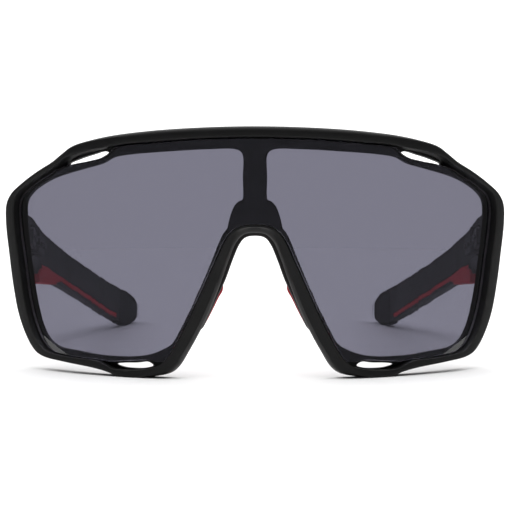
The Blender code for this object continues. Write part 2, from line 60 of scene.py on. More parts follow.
# The room between parts that don't touch, and how far a cutter stands out of what it cuts.
GAP = 0.3
SPARE = 1.0
# How far a flat cuts the lower inner edge of an arm where no facet is wanted.
LEAST_FLAT = 0.45
# Most of a noise's values lie in this span.
NOISE_SPAN = (0.3, 0.7)

Point = tuple[float, float]
Outline = Sequence[Point]
Place = Callable[[int, int], Vector]


class Side(Enum):
    """The wearer's side as the frame's nodes name it: right is towards +X."""

    RIGHT = "right"
    LEFT = "left"

    @property
    def hand(self) -> int:
        """1 on the right and -1 on the left."""
        return 1 if self is Side.RIGHT else -1

    @property
    def mirror(self) -> Matrix:
        """Carries a right-hand shape to this side."""
        return Matrix.Scale(self.hand, 4, (1, 0, 0))


class Join(Enum):
    """The ways in which two closed shapes become one."""

    UNION = "UNION"
    DIFFERENCE = "DIFFERENCE"


# --- curves --------------------------------------------------------------------------------

def smooth(points: Sequence[Sequence[float]], steps: int, closed: bool = True) -> np.ndarray:
    """Runs a centripetal Catmull-Rom curve through points of any dimension.

    Args:
        points: the points to pass through.
        steps: how many points each stretch between two of them gets.
        closed: whether the last point leads back to the first.

    Returns:
        The curve's points, one row each.
    """
    knots = np.asarray(points, float)
    if closed:
        ring = np.vstack([knots[-1:], knots, knots[:2]])
    else:
        ring = np.vstack([2 * knots[0] - knots[1], knots, 2 * knots[-1] - knots[-2]])
    curve = []
    for p0, p1, p2, p3 in zip(ring, ring[1:], ring[2:], ring[3:]):
        t1 = sqrt(np.linalg.norm(p1 - p0))
        t2 = t1 + sqrt(np.linalg.norm(p2 - p1))
        t3 = t2 + sqrt(np.linalg.norm(p3 - p2))
        for t in np.linspace(t1, t2, steps, endpoint=False):
            a1 = p0 + (p1 - p0) * t / t1
            a2 = p1 + (p2 - p1) * (t - t1) / (t2 - t1)
            a3 = p2 + (p3 - p2) * (t - t2) / (t3 - t2)
            b1 = a1 + (a2 - a1) * t / t2
            b2 = a2 + (a3 - a2) * (t - t1) / (t3 - t1)
            curve.append(b1 + (b2 - b1) * (t - t1) / (t2 - t1))
    if not closed:
        curve.append(knots[-1])
    return np.array(curve)


def ease(value: float) -> float:
    """Eases from 0 to 1."""
    value = min(max(value, 0.0), 1.0)
    return value * value * (3 - 2 * value)


def offset(outline: np.ndarray, amount: float) -> np.ndarray:
    """Moves a closed outline outwards by an amount, or inwards if it is negative."""
    after = np.roll(outline, -1, 0) - outline
    normals = np.stack([after[:, 1], -after[:, 0]], 1)
    normals /= np.linalg.norm(normals, axis=1, keepdims=True)
    across, height = outline.T
    areas = across * np.roll(height, -1) - np.roll(across, -1) * height
    normals *= np.sign(areas.sum())
    before = np.roll(normals, 1, 0)
    share = 1 + (before * normals).sum(1, keepdims=True)
    return outline + (before + normals) * amount / share


def rounded(corners: Sequence[tuple[float, float, float, float]], steps: int) -> list[Point]:
    """Rounds a polygon's corners.

    Args:
        corners: each corner's place, and how far before and after it the rounding reaches.
        steps: how many pieces each rounding has.

    Returns:
        The rounded polygon's points, with as many at each corner.
    """
    points = []
    spots = [Vector(corner[:2]) for corner in corners]
    for before, spot, after, corner in zip(spots[-1:] + spots, spots, spots[1:] + spots[:1],
                                           corners):
        arrive = (before - spot).normalized() * corner[2]
        leave = (after - spot).normalized() * corner[3]
        for step in range(steps + 1):
            share = step / steps
            points.append(tuple(spot + arrive * (1 - share) ** 2 + leave * share ** 2))
    return points


# --- meshes --------------------------------------------------------------------------------

class Blank:
    """A mesh in millimetres that bmesh operators shape before it becomes a piece."""

    def __init__(self) -> None:
        """Starts empty, with a mark on each vertex for its place round a ring."""
        self.bm = bmesh.new()
        self.mark = self.bm.verts.layers.int.new("station")

    def grow(self, stations: int, levels: int, place: Place) -> tuple[list, list]:
        """Extrudes a closed ring of edges from level to level.

        Args:
            stations: how many vertices the ring has.
            levels: how many times the ring stands, the first one included.
            place: gives a vertex's place from its station and its level.

        Returns:
            The first ring's edges and the last ring's.
        """
        ring = []
        for station in range(stations):
            vert = self.bm.verts.new(place(station, 0))
            vert[self.mark] = station
            ring.append(vert)
        first = [self.bm.edges.new(pair) for pair in zip(ring, ring[1:] + ring[:1])]
        edges = first
        for level in range(1, levels):
            made = bmesh.ops.extrude_edge_only(self.bm, edges=edges)["geom"]
            moved = {part for part in made if isinstance(part, bmesh.types.BMVert)}
            for vert in moved:
                vert.co = place(vert[self.mark], level)
            edges = [part for part in made
                     if isinstance(part, bmesh.types.BMEdge) and moved.issuperset(part.verts)]
        return first, edges

    def fill(self, *rings: Iterable) -> None:
        """Fills a flat region between an outer ring of edges and the rings of its holes."""
        edges = [edge for ring in rings for edge in ring]
        bmesh.ops.triangle_fill(self.bm, edges=edges, use_beauty=True)

    def cap(self, *rings: Iterable) -> None:
        """Closes each ring of edges with one face."""
        for ring in rings:
            bmesh.ops.edgeloop_fill(self.bm, edges=list(ring))

    def outward(self) -> "Blank":
        """Turns every face outwards."""
        bmesh.ops.recalc_face_normals(self.bm, faces=self.bm.faces)
        return self

    def sliced(self, axis: int, spacing: float, flat_only: bool = False) -> "Blank":
        """Cuts faces at even stations, so that a bend has points to move.

        Args:
            axis: the axis that the stations follow.
            spacing: the distance between two stations.
            flat_only: whether only faces that look along Y are cut.

        Returns:
            This blank.
        """
        normal = Vector((0, 0, 0))
        normal[axis] = 1
        reach = max(abs(vert.co[axis]) for vert in self.bm.verts)
        count = int(reach // spacing)
        for step in range(-count, count + 1):
            faces = [face for face in self.bm.faces
                     if not flat_only or abs(face.normal.y) > 0.999]
            edges = {edge for face in faces for edge in face.edges}
            verts = {vert for face in faces for vert in face.verts}
            bmesh.ops.bisect_plane(self.bm, geom=[*verts, *edges, *faces], dist=1e-4,
                                   plane_co=normal * (step * spacing + spacing / 2),
                                   plane_no=normal)
        return self

    def moved(self, change: Callable[[Vector], Vector]) -> "Blank":
        """Moves every vertex to where a function puts it."""
        for vert in self.bm.verts:
            vert.co = change(vert.co)
        return self

    def turned(self, matrix: Matrix) -> "Blank":
        """Applies a transform, and keeps the faces outward where it mirrors."""
        bmesh.ops.transform(self.bm, matrix=matrix, verts=self.bm.verts)
        if matrix.determinant() < 0:
            bmesh.ops.reverse_faces(self.bm, faces=self.bm.faces)
        return self

    def bevelled(self, width: float, segments: int, least: float = 40) -> "Blank":
        """Rounds every edge that turns by more than an angle in degrees."""
        sharp = [edge for edge in self.bm.edges
                 if edge.calc_face_angle(0) > radians(least)]
        bmesh.ops.bevel(self.bm, geom=sharp, offset=width, segments=segments, profile=0.5,
                        affect="EDGES", material=-1, clamp_overlap=True)
        return self

    def copy(self) -> "Blank":
        """Gives a second blank of the same shape."""
        twin = Blank()
        twin.bm.free()
        twin.bm = self.bm.copy()
        twin.mark = twin.bm.verts.layers.int["station"]
        return twin

    def with_tools(self, way: Join, *tools: "Blank") -> "Blank":
        """Joins or cuts away each tool with an exact Boolean."""
        base = self.shell("blank")
        cutters = [tool.shell("tool") for tool in tools]
        for cutter in cutters:
            change = base.modifiers.new("Boolean", "BOOLEAN")
            change.operation = way.value
            change.solver = "EXACT"
            change.object = cutter
        graph = bpy.context.evaluated_depsgraph_get()
        result = bpy.data.meshes.new_from_object(base.evaluated_get(graph))
        self.bm.clear()
        self.bm.from_mesh(result)
        for item in [base, *cutters]:
            bpy.data.objects.remove(item, do_unlink=True)
        bpy.data.meshes.remove(result)
        return self

    def shell(self, name: str) -> bpy.types.Object:
        """Makes a scene object of the mesh as it stands."""
        mesh = bpy.data.meshes.new(name)
        self.bm.to_mesh(mesh)
        item = bpy.data.objects.new(name, mesh)
        bpy.context.scene.collection.objects.link(item)
        return item


def capped(stations: int, levels: int, place: Place) -> Blank:
    """A solid from a ring that is grown from level to level, with a face on either end."""
    blank = Blank()
    blank.cap(*blank.grow(stations, levels, place))
    return blank.outward()


def prism(outline: Outline, near: float, far: float) -> Blank:
    """A solid from an outline across X and Z, from depth near to depth far along -Y."""
    return capped(len(outline), 2, lambda station, level: Vector(
        (outline[station][0], -(near, far)[level], outline[station][1])))


def lofted(stops: Sequence[float], rings: Sequence[Outline]) -> Blank:
    """A solid through rings of (depth, height) that stand at the stops along X."""
    return capped(len(rings[0]), len(rings), lambda station, level: Vector(
        (stops[level], -rings[level][station][0], rings[level][station][1])))


def box(low: Sequence[float], high: Sequence[float]) -> Blank:
    """A box between two corners."""
    blank = Blank()
    bmesh.ops.create_cube(blank.bm, size=1)
    size = [b - a for a, b in zip(low, high)]
    middle = [(a + b) / 2 for a, b in zip(low, high)]
    return blank.turned(Matrix.Translation(middle) @ Matrix.Diagonal((*size, 1)))


def turning(profile: Outline, segments: int = 32) -> Blank:
    """A round piece about Z from a closed profile of (radius, height) points."""
    blank = Blank()
    verts = [blank.bm.verts.new((radius, 0, height)) for radius, height in profile]
    pairs = zip(verts, verts[1:] + verts[:1]) if profile[0][0] > 0 else zip(verts, verts[1:])
    edges = [blank.bm.edges.new(pair) for pair in pairs]
    bmesh.ops.spin(blank.bm, geom=verts + edges, axis=(0, 0, 1), cent=(0, 0, 0), angle=2 * pi,
                   steps=segments, use_merge=True)
    bmesh.ops.remove_doubles(blank.bm, verts=blank.bm.verts, dist=1e-4)
    return blank.outward()


def rod(radius: float, low: float, high: float, segments: int = 32) -> Blank:
    """A round rod along Z from one level to another."""
    return turning([(0, low), (radius, low), (radius, high), (0, high)], segments)


def piece(blank: Blank, name: str, finishes: Sequence["Finish"], crease: float = 35,
          edge: float = 0.0) -> bpy.types.Object:
    """Makes a finished piece in metres from a blank in millimetres.

    Args:
        blank: the shape, in the row frame.
        name: the piece's name.
        finishes: the finishes of its material slots.
        crease: the least angle in degrees that stays a crease.
        edge: the width of a fine rounding on every crease, or 0 for none.

    Returns:
        The piece, smooth-shaded, at the origin.
    """
    # A curve may dip a hair under the floor between its points: it is laid flat there.
    blank.moved(lambda spot: Vector((spot.x, spot.y, max(spot.z, 0.0))))
    blank.turned(Matrix.Scale(MM, 4))
    item = blank.shell(name)
    blank.bm.free()
    for finish in finishes:
        item.data.materials.append(finish.material())
    item.data.shade_smooth()
    item.data.set_sharp_from_angle(angle=radians(crease))
    if edge:
        rounding = item.modifiers.new("fine edges", "BEVEL")
        rounding.width = edge * MM
        rounding.segments = 2
        rounding.limit_method = "ANGLE"
        rounding.angle_limit = radians(crease)
        rounding.harden_normals = False
    item.modifiers.new("even shading", "WEIGHTED_NORMAL").keep_sharp = True
    return item


def settle(item: bpy.types.Object, body: str, slot: str, *nodes: str) -> bpy.types.Object:
    """Gives a piece its body, and hides the nodes that it stands for."""
    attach(item, body)
    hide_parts(*nodes)
    log.info("%s: %d faces on %s", item.name, len(item.data.polygons), body)
    return item


# --- finishes ------------------------------------------------------------------------------

def linear(code: str) -> tuple[float, float, float, float]:
    """Turns an sRGB hex colour into linear values with full alpha."""
    values = [int(code[i:i + 2], 16) / 255 for i in (1, 3, 5)]
    bent = [v / 12.92 if v <= 0.04045 else ((v + 0.055) / 1.055) ** 2.4 for v in values]
    return (*bent, 1.0)


def per_metre(size: float) -> float:
    """The texture scale that repeats a pattern once in a size in millimetres."""
    return 1 / (size * MM)


def add_node(tree: bpy.types.NodeTree, kind: str, inputs: dict[Any, Any] | None = None,
             **settings: Any) -> bpy.types.Node:
    """Adds one shader node.

    Args:
        tree: the node tree.
        kind: the node's type.
        inputs: a value or a socket to link for each named or numbered input.
        settings: the node's own properties.

    Returns:
        The node.
    """
    made = tree.nodes.new(kind)
    for name, value in settings.items():
        setattr(made, name, value)
    for name, value in (inputs or {}).items():
        if isinstance(value, bpy.types.NodeSocket):
            tree.links.new(value, made.inputs[name])
        else:
            made.inputs[name].default_value = value
    return made


def noise(tree: bpy.types.NodeTree, size: float, detail: float,
          roughness: float = 0.5) -> bpy.types.NodeSocket:
    """Adds a noise in object coordinates, with a pattern of a size in millimetres."""
    place = add_node(tree, "ShaderNodeTexCoord").outputs["Object"]
    return add_node(tree, "ShaderNodeTexNoise", {
        "Vector": place, "Scale": per_metre(size), "Detail": detail,
        "Roughness": roughness}).outputs["Fac"]


def link_gloss(tree: bpy.types.NodeTree, shader: bpy.types.Node, pattern: bpy.types.NodeSocket,
               seen: Point, given: Point) -> None:
    """Carries a pattern from the span that it is seen in to a given span of roughness."""
    gloss = add_node(tree, "ShaderNodeMapRange", {
        "Value": pattern, "From Min": seen[0], "From Max": seen[1],
        "To Min": given[0], "To Max": given[1]})
    tree.links.new(gloss.outputs["Result"], shader.inputs["Roughness"])


def link_relief(tree: bpy.types.NodeTree, shader: bpy.types.Node, pattern: bpy.types.NodeSocket,
                height: float) -> None:
    """Makes a pattern a bump of a height in millimetres."""
    bump = add_node(tree, "ShaderNodeBump", {
        "Height": pattern, "Distance": height * MM, "Strength": 1.0})
    tree.links.new(bump.outputs["Normal"], shader.inputs["Normal"])


class Finish:
    """A surface finish that makes its material once."""

    name: str

    def material(self) -> bpy.types.Material:
        """Gives the finish's material, made on first use."""
        found = bpy.data.materials.get(self.name)
        if found:
            return found
        made = bpy.data.materials.new(self.name)
        made.use_nodes = True
        self.dress(made.node_tree, made.node_tree.nodes["Principled BSDF"])
        return made

    def dress(self, tree: bpy.types.NodeTree, shader: bpy.types.Node) -> None:
        """Sets the shader's values and links its patterns."""
        raise NotImplementedError


@dataclass(frozen=True)
class Moulded(Finish):
    """Moulded plastic or rubber: faintly mottled, unevenly glossy, with a fine mould grain."""

    name: str
    colour: str
    mottle: str
    roughness: float
    ior: float
    specular: float
    grain: float
    relief: float
    gloss_spread: float = 0.06
    mottle_size: float = 14.0
    gloss_size: float = 5.0

    def dress(self, tree: bpy.types.NodeTree, shader: bpy.types.Node) -> None:
        """Links the mottle to the colour, the gloss to the roughness and the grain to a bump."""
        shader.inputs["IOR"].default_value = self.ior
        shader.inputs["Specular IOR Level"].default_value = self.specular
        blend = add_node(tree, "ShaderNodeMix", {
            "Factor": noise(tree, self.mottle_size, 4.0, 0.6), "A": linear(self.colour),
            "B": linear(self.mottle)}, data_type="RGBA")
        tree.links.new(blend.outputs["Result"], shader.inputs["Base Color"])
        link_gloss(tree, shader, noise(tree, self.gloss_size, 5.0, 0.7), NOISE_SPAN,
                   (self.roughness - self.gloss_spread, self.roughness + self.gloss_spread))
        link_relief(tree, shader, noise(tree, self.grain, 3.0), self.relief)


@dataclass(frozen=True)
class Polished(Finish):
    """Tinted polycarbonate with a hard coat: clear, glossy, with a trace of polishing haze."""

    name: str
    tint: str
    ior: float
    haze: float
    waviness: float
    wave_size: float
    smear_size: float = 9.0
    smear_span: Point = (0.45, 0.8)

    def dress(self, tree: bpy.types.NodeTree, shader: bpy.types.Node) -> None:
        """Lets light through in the tint, and links the haze and the moulding's waviness."""
        shader.inputs["Base Color"].default_value = linear(self.tint)
        shader.inputs["Transmission Weight"].default_value = 1.0
        shader.inputs["IOR"].default_value = self.ior
        link_gloss(tree, shader, noise(tree, self.smear_size, 6.0, 0.65), self.smear_span,
                   (0.0, self.haze))
        link_relief(tree, shader, noise(tree, self.wave_size, 1.0), self.waviness)


@dataclass(frozen=True)
class Turned(Finish):
    """Coated steel as small hinge parts have it: turned or stamped, then tumbled."""

    name: str
    colour: str
    roughness: float
    scratch: float
    relief: float = 0.006
    gloss_spread: Point = (-0.1, 0.12)

    def dress(self, tree: bpy.types.NodeTree, shader: bpy.types.Node) -> None:
        """Sets the metal and links the tumbling marks to its gloss and a bump."""
        shader.inputs["Base Color"].default_value = linear(self.colour)
        shader.inputs["Metallic"].default_value = 1.0
        marks = noise(tree, self.scratch, 6.0, 0.75)
        glossy, dull = self.gloss_spread
        link_gloss(tree, shader, marks, NOISE_SPAN, (self.roughness + glossy,
                                                     self.roughness + dull))
        link_relief(tree, shader, marks, self.relief)


# Nylon moulded in a spark-eroded tool: a soft matte black with blurred highlights. Its real
# grain of about 0.1 mm is drawn some four times coarser, so that it shows.
NYLON = Moulded("matte_black_nylon", "#0c0c0d", "#101010", roughness=0.5, ior=1.51,
                specular=0.2, grain=0.45, relief=0.012)
# Polycarbonate sheet with a hard coat: dims what is behind it to a cool smoke grey.
SMOKE = Polished("smoke_polycarbonate", "#6b6a77", ior=1.586, haze=0.03, waviness=0.002,
                 wave_size=16.0)
# The lens's cut edge, ground after moulding: frosted, paler and warmer than the face.
GROUND = Moulded("ground_polycarbonate_edge", "#5b5852", "#6a665e", roughness=0.42, ior=1.586,
                 specular=0.5, grain=0.3, relief=0.02)
# Thermoplastic rubber in dark warm grey: dull, so the arch ends in a soft pale edge.
GREY_RUBBER = Moulded("grey_soft_rubber", "#262424", "#2c2a2a", roughness=0.7, ior=1.5,
                      specular=0.25, grain=0.6, relief=0.02)
# Such rubber in red, a little glossier: the pads, and the insert in each arm.
RED_RUBBER = Moulded("red_soft_rubber", "#bd2734", "#c8303b", roughness=0.62, ior=1.5,
                     specular=0.35, grain=0.6, relief=0.02)
# Black rubber sleeve on the arm tips: duller than the nylon, so the tips read a shade softer.
BLACK_RUBBER = Moulded("black_soft_rubber", "#121212", "#171717", roughness=0.72, ior=1.5,
                       specular=0.25, grain=0.7, relief=0.03)
# Steel with a black oxide coat, tumbled: only a few soft glints in the hinge gaps.
STEEL = Turned("blackened_steel", "#3a3a3c", roughness=0.38, scratch=0.35)


# --- places --------------------------------------------------------------------------------

@dataclass(frozen=True)
class Places:
    """Where the wrapped face and the hung temples stand, worked out from the frame's joint."""

    face_radius: float = 88.0
    face_lean: float = radians(5.0)
    hinge_back: float = 50.0
    toe_in: float = radians(11.8)

    @property
    def joint(self) -> dict[str, Any]:
        """The right temple's joint."""
        return next(j for j in frame["joints"] if j["child"] == "right_temple")

    @property
    def hinge(self) -> Matrix:
        """The right hinge's axes, in millimetres: Z runs along the pin."""
        slope = atan2(self.joint["axis"][1], self.joint["axis"][2])
        pivot = Vector(self.joint["pos_m"]) / MM
        return Matrix.Translation(pivot) @ Matrix.Rotation(-slope, 4, "X")

    @property
    def temple(self) -> Matrix:
        """The right temple's axes at rest: X is its depth and Y its length."""
        return self.hinge @ Matrix.Rotation(self.toe_in, 4, "Z")

    @property
    def face(self) -> Matrix:
        """The upright cylinder's axes, leaning back about the lowest point of the face."""
        apex = self.joint["pos_m"][1] / MM - self.hinge_back
        return Matrix.Translation((0, apex, 0)) @ Matrix.Rotation(-self.face_lean, 4, "X")

    def on_face(self, spot: Vector) -> Vector:
        """Wraps a flat spot of the face (across, -depth, height) onto the cylinder."""
        turn = spot.x / self.face_radius
        reach = self.face_radius - spot.y
        return self.face @ Vector((reach * sin(turn), self.face_radius - reach * cos(turn),
                                   spot.z))


PLACES = Places()


# --- front ---------------------------------------------------------------------------------

def whole(half: Sequence[Sequence[float]]) -> list[tuple[float, ...]]:
    """A whole outline from its right half, whose ends are on the middle line.

    Every other value of a point, from the first, is a distance across and changes its sign.
    """
    flipped = [tuple(-v if i % 2 == 0 else v for i, v in enumerate(point))
               for point in reversed(half[1:-1])]
    return [tuple(point) for point in half] + flipped


@dataclass
class FrontFrame:
    """The moulded front: rim, rebate, bar, vents and nose lip; the end pieces at its sides are
    built apart.

    The rim runs between two outlines of the same count, so that each point of its outer edge
    has a partner on the lens rebate, and a section of levels is drawn from one to the other.
    """

    edge: Outline = (
        (0, 71.0), (16, 70.7), (30, 70.0), (42, 68.9), (51, 67.4), (55.6, 66.2), (59, 64.4),
        (63, 62.1), (69, 59.6), (76.5, 56.3), (82, 53.4), (84.6, 50.4), (84.8, 45), (82.9, 36),
        (80.6, 27), (77.9, 18.8), (74.2, 12.2), (70.6, 8), (66.4, 5.9), (58, 4.5), (48, 3),
        (43.2, 1.9), (39.6, 0.5), (35, 0.1), (30.5, 0.7), (25.5, 1.6), (22.4, 3.6), (19.4, 8),
        (15.8, 14.2), (11.9, 22.4), (9.3, 29), (7.45, 34), (5.4, 38.6), (3.2, 40.7), (0, 41.2))
    rebate: Outline = (
        (0, 67.9), (16, 67.6), (30, 66.8), (39, 66.3), (44, 65.5), (51, 64.5), (57, 63),
        (61, 60.9), (66, 58.8), (74, 55.4), (78.6, 52.7), (79.8, 49.5), (79.2, 43), (77, 33.6),
        (74.3, 22.2), (71, 14.2), (67.6, 9.6), (64, 7.3), (56, 6), (47, 5.2), (43.8, 4.1),
        (40.6, 2.9), (34.5, 2.7), (29.6, 3.2), (26.4, 4.3), (24.2, 6.6), (21.4, 11.4),
        (18.4, 17.2), (16, 22.4), (13, 29), (10.9, 33.6), (8.2, 39.2), (6, 41.8), (3.2, 43),
        (0, 43.2))
    eye: Outline = (
        (3.5, 50.8), (3.5, 57), (3.6, 63.2), (5, 64.5), (14, 64.7), (26, 64.2), (37, 63.6),
        (42.6, 62.9), (46.4, 61.3), (52, 60.1), (59, 58.8), (64.6, 57.6), (70.3, 55.8),
        (75.6, 53.4), (78.4, 50.8), (78.6, 46), (77.4, 38), (75.6, 30), (73.4, 22),
        (70.6, 15.2), (67.2, 11), (63, 8.9), (55, 7.7), (46, 6.6), (36, 6.4), (31, 7),
        (27.4, 8.2), (24.2, 10), (21.8, 13.8), (18.6, 19.8), (15.5, 26.4), (12.8, 32.6),
        (10.05, 39.2), (9, 41.2), (8.1, 42.3), (7.95, 42.6), (7.6, 44.1), (7.2, 45.6),
        (6.8, 46.9), (6.05, 48.6), (5.5, 49.3), (4.75, 50), (3.75, 50.45))
    brow_vent: Outline = (
        (44.6, 64.2), (47.4, 62.9), (53, 61.9), (59.6, 60.7), (60, 61.4), (56.4, 62.6),
        (50.6, 63.9), (46.4, 64.7))
    cheek_vent: Outline = (
        (30.1, 3.9), (32.2, 3.25), (36.2, 3.1), (39.8, 3.4), (42.3, 4.15), (39.6, 4.5),
        (35.2, 4.6), (31.6, 4.85))
    ledge: float = -2.3
    steps: int = 6
    slice_width: float = 1.6
    nose_from: float = 23.5
    nose_to: float = 28.0
    # Levels of the rim's section: millimetres in from the outer edge, a share of the width
    # more, and the depth. It runs from the back, round the front, to the rebate's floor.
    rim_levels: Sequence[tuple[float, float, float]] = (
        (0.45, 0, -3.8), (0.13, 0, -3.67), (0, 0, -3.35), (0, 0, -1.6), (0, 0, 0.3),
        (0.06, 0, 0.85), (0.28, 0, 1.34), (0.66, 0, 1.66), (1.2, 0, 1.8), (0, 0.55, 1.82),
        (-0.5, 1, 1.78), (-0.14, 1, 1.66), (0, 1, 1.3), (0, 1, -0.5), (0, 1, -2.3))
    nose_levels: Sequence[tuple[float, float, float]] = (
        (0.45, 0, -3.8), (0.13, 0, -3.67), (0, 0, -3.4), (0, 0, -3.1), (0.02, 0, -2.8),
        (0.15, 0, -2.35), (0.42, 0, -1.85), (0.85, 0, -1.3), (1.45, 0, -0.65), (0, 0.72, 0.1),
        (-0.5, 1, 0.45), (-0.14, 1, 0.42), (0, 1, 0.25), (0, 1, -0.5), (0, 1, -2.3))
    opening_levels: Sequence[tuple[float, float]] = (
        (0.3, 0), (0.09, 0.09), (0, 0.3), (0, 1.2), (0.09, 1.41), (0.3, 1.5))
    vent_rounding: float = 0.2

    def rim(self, blank: Blank) -> tuple[list, list]:
        """Grows the rim's skin and gives its rings at the back and on the ledge."""
        pairs = [(*outer, *inner) for outer, inner in zip(self.edge, self.rebate)]
        stations = smooth(whole(pairs), self.steps)
        count = len(stations)

        def place(station: int, level: int) -> Vector:
            outer, inner = Vector(stations[station][:2]), Vector(stations[station][2:])
            along = min(station, count - station) / self.steps
            nose = ease((along - self.nose_from) / (self.nose_to - self.nose_from))
            brow = Vector(self.rim_levels[level])
            start, share, depth = brow.lerp(Vector(self.nose_levels[level]), nose)
            width = (inner - outer).length
            spot = outer + (inner - outer).normalized() * (start + share * width)
            return Vector((spot.x, -depth, spot.y))

        return blank.grow(count, len(self.rim_levels), place)

    def opening(self, blank: Blank, outline: Outline, rounding: float) -> tuple[list, list]:
        """Grows an opening's wall and gives its rings on the ledge and at the back."""
        curve = smooth(outline, self.steps)
        rings = [offset(curve, grown * rounding) for grown, _ in self.opening_levels]

        def place(station: int, level: int) -> Vector:
            across, height = rings[level][station]
            return Vector((across, -(self.ledge - self.opening_levels[level][1]), height))

        return blank.grow(len(curve), len(rings), place)

    def front(self) -> Blank:
        """The whole wrapped front without its end pieces."""
        blank = Blank()
        back, ledge = self.rim(blank)
        walls = []
        for hand in (1, -1):
            for outline, rounding in ((self.eye, 1.0), (self.brow_vent, self.vent_rounding),
                                      (self.cheek_vent, self.vent_rounding)):
                turned = [(hand * across, height) for across, height in outline]
                walls.append(self.opening(blank, turned, rounding))
        blank.fill(ledge, *(first for first, _ in walls))
        blank.fill(back, *(last for _, last in walls))
        blank.outward().sliced(0, self.slice_width, flat_only=True)
        return blank.moved(PLACES.on_face)


@dataclass
class ArmSection:
    """The section that an arm, its tip and the end piece share: a softly crowned outer face."""

    thickness: float = 4.4
    inner_face: float = 0.9
    inner_round: float = 0.5
    outer_round: float = 1.5
    outer_crown: float = 3.2
    corner_steps: int = 5

    def ring(self, low: float, high: float, near: float = 0.0, far: float | None = None,
             facet: Point = (LEAST_FLAT, LEAST_FLAT)) -> list[Point]:
        """The section's points as (depth, height).

        Args:
            low: the lowest height.
            high: the highest height.
            near: the depth of the inner face.
            far: the depth of the outer face, or the arm's own.
            facet: how far a flat cuts the lower inner edge, across and up.

        Returns:
            The points round the section, always as many.
        """
        far = self.thickness if far is None else far
        room = min(1.0, (high - low) / (2.4 * self.outer_crown), (far - near) / self.thickness)
        inner, outer, crown = (room * v for v in (self.inner_round, self.outer_round,
                                                  self.outer_crown))
        cut, rise = (room * v for v in facet)
        soft = 0.2 * room
        return rounded([(near, high, inner, inner), (far, high, outer, crown),
                        (far, low, crown, outer), (near + cut, low, soft, soft),
                        (near, low + rise, soft, soft)], self.corner_steps)


SECTION = ArmSection()


